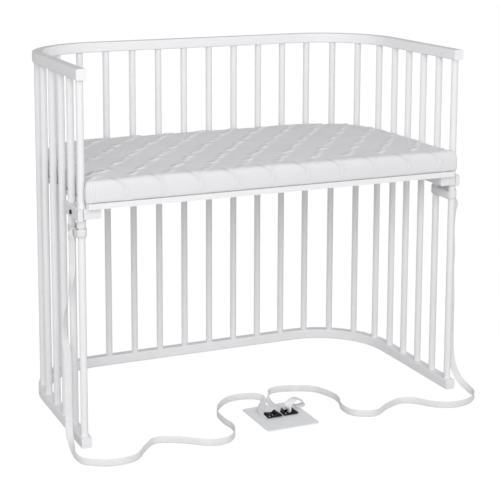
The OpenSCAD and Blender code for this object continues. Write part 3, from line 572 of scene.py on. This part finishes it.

# The top: pillows between the stitched rows. Short slanting puckers run along each row, which rise
# slowly and fall sharply, with painted shade at their foot, and finer gathers lie beside the stitching
pucker_step, pucker_slant, pucker_reach = 0.031, 0.36, 0.0175
pucker_high, slow_rise, sharp_fall = 0.0038, 0.0115, 0.0026
# Where the painted shade lies behind each pucker's crest, and how wide it is
fold_from_crest, fold_wide = 0.0062, 0.0042
row_deep, pillow_wide = 0.0022, 0.02
gather_step, gather_wide, gather_high = 0.0255, 0.016, 0.0005
dome_reach = 0.25
off, number, along = quilt_rows(x, y)
calm = 0.25 + 0.75 * smoothstep(front_y + 0.006, front_y + 0.04, y)  # less relief along the front
pillow = 1 - np.exp(-np.abs(off) / pillow_wide)
where = along / pucker_step + number * 0.37 + 0.35 * uneven(x, y, 0.3)
pucker, fold = np.zeros(len(x)), np.zeros(len(x))
for neighbour in (-1, 0, 1):
    which = np.floor(where) + neighbour
    reach = (where - which - 0.5) * pucker_step
    d = off - pucker_slant * reach
    strength = (0.62 + 0.38 * np.sin(number * 1.9 + which * 2.4)) * np.exp(-(reach / pucker_reach) ** 4)
    pucker = np.maximum(pucker, strength * np.exp(-(d / np.where(d < 0, slow_rise, sharp_fall)) ** 2))
    fold = np.maximum(fold, strength * np.exp(-((d + fold_from_crest) / fold_wide) ** 2))
gather = (np.sin(along * 2 * math.pi / gather_step + 14 * off + number * 1.9)
          * np.exp(-np.abs(off) / gather_wide))
dome = (np.clip(1 - (x / side_x) ** 2, 0, 1) ** 0.5
        * np.clip(1 - ((y - mid_y) / dome_reach) ** 2, 0, 1) ** 0.5)
top_lift = (crown * dome + calm * (-row_deep * (1 - pillow) + pucker_high * pucker + gather_high * gather)
            + 0.0014 * uneven(x, y, 0.34) + 0.0007 * uneven(y, x, 0.12))
fold *= calm * (0.75 - 0.3 * x / side_x)  # the painted shade of the folds is darker at the left

# Creases that a hand leaves, pressed in and darkened with painted shade, the deepest at the left front
# corner: from, to and depth
crease_wide, crease_shade_wide, full_shade_depth = 0.0035, 0.0045, 0.004
hand_creases = (
    ((-0.449, -0.2), (-0.432, -0.187), 0.004), ((-0.432, -0.187), (-0.403, -0.158), 0.005),
    ((-0.403, -0.158), (-0.379, -0.15), 0.0045), ((-0.379, -0.15), (-0.355, -0.147), 0.003),
    ((0.02, -0.17), (0.075, -0.165), 0.0012),
)
for (x0, y0), (x1, y1), deep in hand_creases:
    span = math.hypot(x1 - x0, y1 - y0)
    t = np.clip(((x - x0) * (x1 - x0) + (y - y0) * (y1 - y0)) / span ** 2, 0, 1)
    gap = np.hypot(x - x0 - t * (x1 - x0), y - y0 - t * (y1 - y0))
    top_lift -= deep * np.exp(-(gap / crease_wide) ** 2)
    fold = np.maximum(fold, deep / full_shade_depth * np.exp(-(gap / crease_shade_wide) ** 2))
fold *= top_share

# The sides: each row runs down them as a shallow channel and ends in a small dent
channel_wide, channel_deep, front_channel_deep = 0.0035, 0.0011, 0.0004
dent_wide, dent_deep = 0.009, 0.0014
at_front = y < front_y + 0.02
channel = (np.exp(-(off / channel_wide) ** 2)
           * (0.35 + 0.65 * smoothstep(board_top + 0.03, board_top + 0.008, z)))
dent = np.exp(-(off / dent_wide) ** 2) * smoothstep(board_top + 0.02, board_top + 0.004, z)
side_in = (np.where(at_front, front_channel_deep, channel_deep) * channel + dent_deep * dent
           + 0.0006 * uneven(x, y + z, 0.2))

# The front: where a pillow folds over the top edge, an arched crease with a lip outside it, and painted shade
# along the crease's upper part
arch_tops = (-0.409, -0.324, -0.238, -0.153, -0.066, 0.021, 0.107, 0.193, 0.281, 0.364)
arch_wide, arch_high, arch_reach = 0.041, 0.033, 0.036
arch_low = board_top + 0.0535 - arch_high
arch_deep, arch_line, arch_drop = 0.0032, 0.0019, 0.0012
lip_out, lip_high, lip_wide = 0.0042, 0.002, 0.003
shade_off, shade_wide, shade_share = 0.0012, 0.0022, 0.4
for arch_x in arch_tops:
    u, v = (x - arch_x) / arch_wide, (z - arch_low) / arch_high
    far = (np.hypot(u, v) - 1) * arch_reach
    sector = smoothstep(-0.25, 0.05, u) * smoothstep(-0.1, 0.25, v) * (y < front_y + 0.03)
    side_in += sector * (arch_deep * np.exp(-(far / arch_line) ** 2)
                         - lip_high * np.exp(-((far - lip_out) / lip_wide) ** 2))
    shade_line = np.exp(-((far + shade_off) / shade_wide) ** 2)
    fold = np.maximum(fold, shade_share * sector * smoothstep(0.35, 0.85, v) * shade_line)
    top_lift -= sector * arch_drop * np.exp(-(far / shade_wide) ** 2)

# Short upright wrinkles at the left end of the front: place and depth
wrinkle_lean, wrinkle_wide = 0.15, 0.0022
for wrinkle_x, deep in ((-0.4475, 0.0022), (-0.4405, 0.0014), (-0.4325, 0.001)):
    gap = x - wrinkle_x - wrinkle_lean * (z - board_top - 0.025)
    side_in += at_front * deep * np.exp(-(gap / wrinkle_wide) ** 2)

# The way out at each point: sideways, to the front, or from the middle of a round rear corner
corner_band = 0.012
outward = np.stack([np.where(np.abs(x) > side_x - corner_band, np.sign(x), 0.0),
                    np.where(y < front_y + corner_band, -1.0, 0.0)], axis=1)
rounded = y > rear_y - rear_radius
past_straight = np.clip(np.abs(x) - (side_x - rear_radius), 0, None) * np.sign(x)
outward[rounded] = np.stack([past_straight, y - (rear_y - rear_radius)], axis=1)[rounded]
size = np.maximum(np.hypot(*outward.T), 1e-9)
outward /= size[:, None]
inward = side_share * side_in * (z > board_top + 0.002)
points[:, 0] -= outward[:, 0] * inward
points[:, 1] -= outward[:, 1] * inward
points[:, 2] = z + top_share * top_lift
mattress.data.vertices.foreach_set("co", points.ravel())
# The painted shade of the folds, creases and arches goes to the cover's colour
mattress.data.attributes.new("fold", "FLOAT", "POINT").data.foreach_set("value", np.clip(fold, 0, 1))
mattress.data.update()
for face in mattress.data.polygons:
    face.use_smooth = True
mattress.data.materials.append(quilt_white)
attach(mattress, "base")
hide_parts("mattress_cover", "mattress_panel")


# Floor and light

# To the camera the floor is white with a faint shade on it. The crib gets the light of a grey floor
floor_half, floor_drop = 30, 0.0004
corners = ((-1, -1), (1, -1), (1, 1), (-1, 1))
floor = add_piece("floor", [(floor_half * i, floor_half * j, 0) for i, j in corners], [(0, 1, 2, 3)])
floor.location.z = -floor_drop
floor_white, nodes, links, shader = finish_material("floor_white", (0.66, 0.66, 0.66), rough=0.9,
                                                    specular=0.0)
glow = node(nodes, "ShaderNodeEmission", Strength=0.94)
shade = node(nodes, "ShaderNodeBsdfDiffuse")
shade.inputs["Color"].default_value = (0.12, 0.12, 0.12, 1)
seen = node(nodes, "ShaderNodeAddShader")
rays = node(nodes, "ShaderNodeLightPath")
choice = node(nodes, "ShaderNodeMixShader")
links.new(glow.outputs["Emission"], seen.inputs[0])
links.new(shade.outputs["BSDF"], seen.inputs[1])
links.new(rays.outputs["Is Camera Ray"], choice.inputs["Fac"])
links.new(shader.outputs["BSDF"], choice.inputs[1])
links.new(seen.outputs["Shader"], choice.inputs[2])
links.new(choice.outputs["Shader"], nodes["Material Output"].inputs["Surface"])
floor.data.materials.append(floor_white)

# Surroundings of soft white light, weaker overhead than at the horizon, and weak behind the crib
horizon_light, overhead_light = 1.06, 0.46
rear_share, rear_from, rear_full = 0.2, 0.35, 0.9
world = bpy.data.worlds.new("studio")
bpy.context.scene.world = world
world.use_nodes = True
sky = world.node_tree.nodes["Background"]
sky.inputs["Color"].default_value = (1, 1, 1, 1)
nodes, links = world.node_tree.nodes, world.node_tree.links
direction = node(nodes, "ShaderNodeTexCoord")
axes = node(nodes, "ShaderNodeSeparateXYZ")
by_height = node(nodes, "ShaderNodeMapRange", **{"To Min": horizon_light, "To Max": overhead_light})
by_depth = node(nodes, "ShaderNodeMapRange", **{
    "From Min": rear_from, "From Max": rear_full, "To Min": 1.0, "To Max": rear_share})
strength = node(nodes, "ShaderNodeMath", operation="MULTIPLY")
links.new(direction.outputs["Generated"], axes.inputs["Vector"])
links.new(axes.outputs["Z"], by_height.inputs["Value"])
links.new(axes.outputs["Y"], by_depth.inputs["Value"])
links.new(by_height.outputs["Result"], strength.inputs[0])
links.new(by_depth.outputs["Result"], strength.inputs[1])
links.new(strength.outputs["Value"], sky.inputs["Strength"])

# One large softbox in front of the crib, to its left
softbox_place, softbox_target = Vector((-1.65, -3.85, 2.3)), Vector((0, 0, 0.4))
softbox_data = bpy.data.lights.new("front_light", "AREA")
softbox_data.shape = "SQUARE"
softbox_data.size = 2.6
softbox_data.energy = 82
softbox = bpy.data.objects.new("front_light", softbox_data)
bpy.context.scene.collection.objects.link(softbox)
softbox.location = softbox_place
softbox.rotation_euler = (softbox_target - softbox_place).to_track_quat("-Z", "Y").to_euler()
